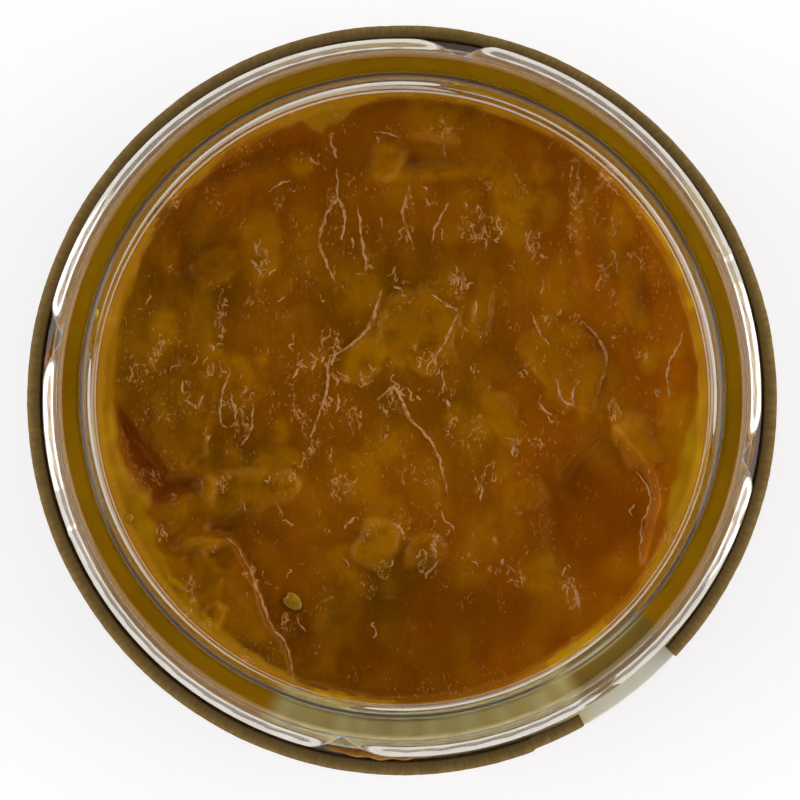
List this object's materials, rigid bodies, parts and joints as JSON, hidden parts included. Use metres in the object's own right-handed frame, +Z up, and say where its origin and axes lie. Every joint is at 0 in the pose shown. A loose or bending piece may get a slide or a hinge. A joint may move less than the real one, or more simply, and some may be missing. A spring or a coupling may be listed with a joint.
{
  "type": "jar of chili sauce",
  "caption": "Open clear glass jar with a lug finish, a wrap-round paper label, and a filling of chunky chili sauce with an uneven top.",
  "frame": {"origin": "middle of the base, on the surface that the jar stands on", "axes": "+Z up out of the mouth; the label's bare gap is centred 52 degrees clockwise from +X seen from above"},
  "size_m": [0.0668, 0.0668, 0.083],
  "materials": {
    "clear_glass": "clear flint glass, fire polished",
    "chili_sauce": "wet, glossy, translucent orange-brown sauce with chunks",
    "label_paper": "uncoated khaki-brown kraft paper"
  },
  "bodies": {
    "root": {"jar": "clear_glass", "sauce": "chili_sauce", "label": "label_paper"}
  },
  "joints": []
}
